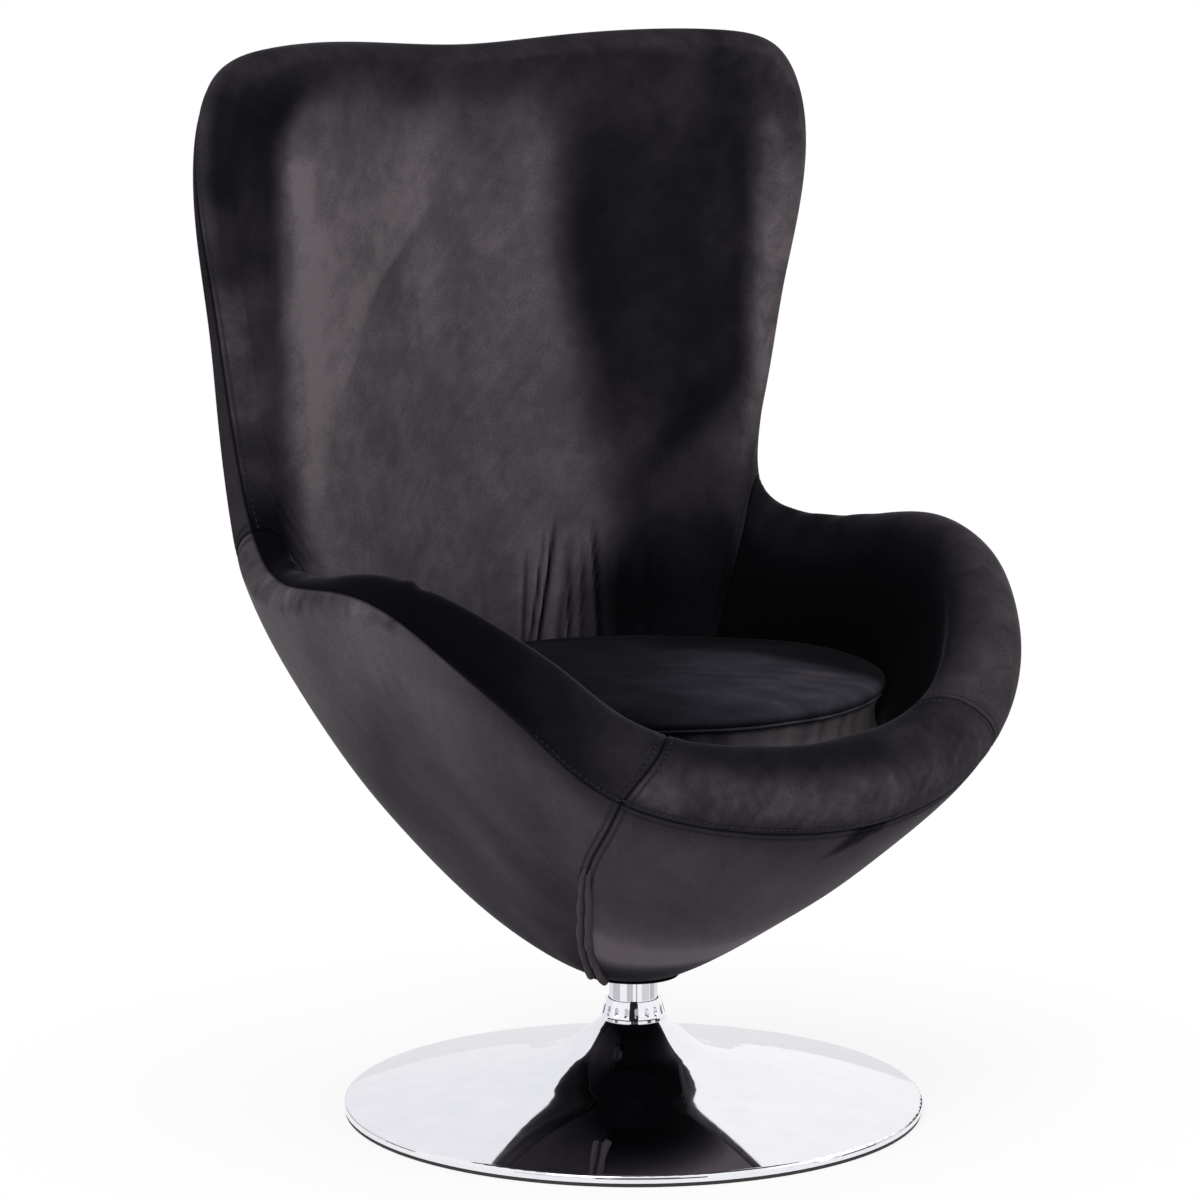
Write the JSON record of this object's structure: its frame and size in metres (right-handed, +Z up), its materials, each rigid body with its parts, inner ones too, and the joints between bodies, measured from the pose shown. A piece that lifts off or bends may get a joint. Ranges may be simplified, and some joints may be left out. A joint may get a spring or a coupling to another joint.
{
  "type": "swivel lounge chair",
  "caption": "Egg-shaped upholstered lounge chair with high winged back, low padded arms and a loose round seat cushion, turning on a chromed trumpet base.",
  "frame": {"origin": "on the floor, on the axis of the swivel column", "axes": "+Z up along the swivel column, -Y the way the sitter faces, +X to the sitter's left"},
  "size_m": [0.7598, 0.681, 1.0948],
  "materials": {
    "chrome": "polished chrome plate",
    "rubber": "black rubber",
    "plate_steel": "black primer",
    "bright_steel": "turned, zinc plated",
    "nylon": "natural nylon",
    "black_plastic": "moulded black",
    "shell_plastic": "moulded shell",
    "foam": "upholstery foam",
    "lining": "woven lining",
    "velvet": "black velvet with brushed nap"
  },
  "bodies": {
    "base": {"base_disc": "chrome", "floor_pad": "rubber", "ballast_plate": "plate_steel", "swivel_hub": "plate_steel", "neck_collar": "chrome", "swivel_spindle": "bright_steel", "thrust_washer_lower": "bright_steel", "thrust_washer_pad": "nylon", "stop_washer": "bright_steel", "retaining_clip": "bright_steel"},
    "seat": {"post_tube": "chrome", "thrust_washer_upper": "bright_steel", "lower_bush": "nylon", "upper_bush": "nylon", "mount_plate": "plate_steel", "backing_plate": "plate_steel", "mount_bolts": "bright_steel", "mount_washers": "bright_steel", "bottom_cap": "black_plastic", "shell": "shell_plastic", "seat_foam": "foam", "lip_foam": "foam", "arm_foam_left": "foam", "arm_foam_right": "foam", "back_foam": "foam", "deck_cloth": "lining", "front_cover": "velvet", "side_cover_left": "velvet", "side_cover_right": "velvet", "back_cover": "velvet", "lip_cover": "velvet", "inner_arm_cover_left": "velvet", "inner_arm_cover_right": "velvet", "inner_back_cover": "velvet"},
    "cushion": {"cushion_core": "foam", "cushion_top": "velvet", "cushion_underside": "velvet", "cushion_boxing": "velvet", "cushion_piping": "velvet", "cushion_zip": "lining", "zip_slider": "bright_steel"}
  },
  "joints": [
    {"name": "swivel", "type": "hinge", "parent": "base", "child": "seat", "pos_m": [0, 0, 0.1], "axis": [0, 0, 1], "continuous": true},
    {"name": "cushion_lift", "type": "slide", "parent": "seat", "child": "cushion", "axis": [0, 0, 1], "range_m": [0, 0.75]}
  ]
}
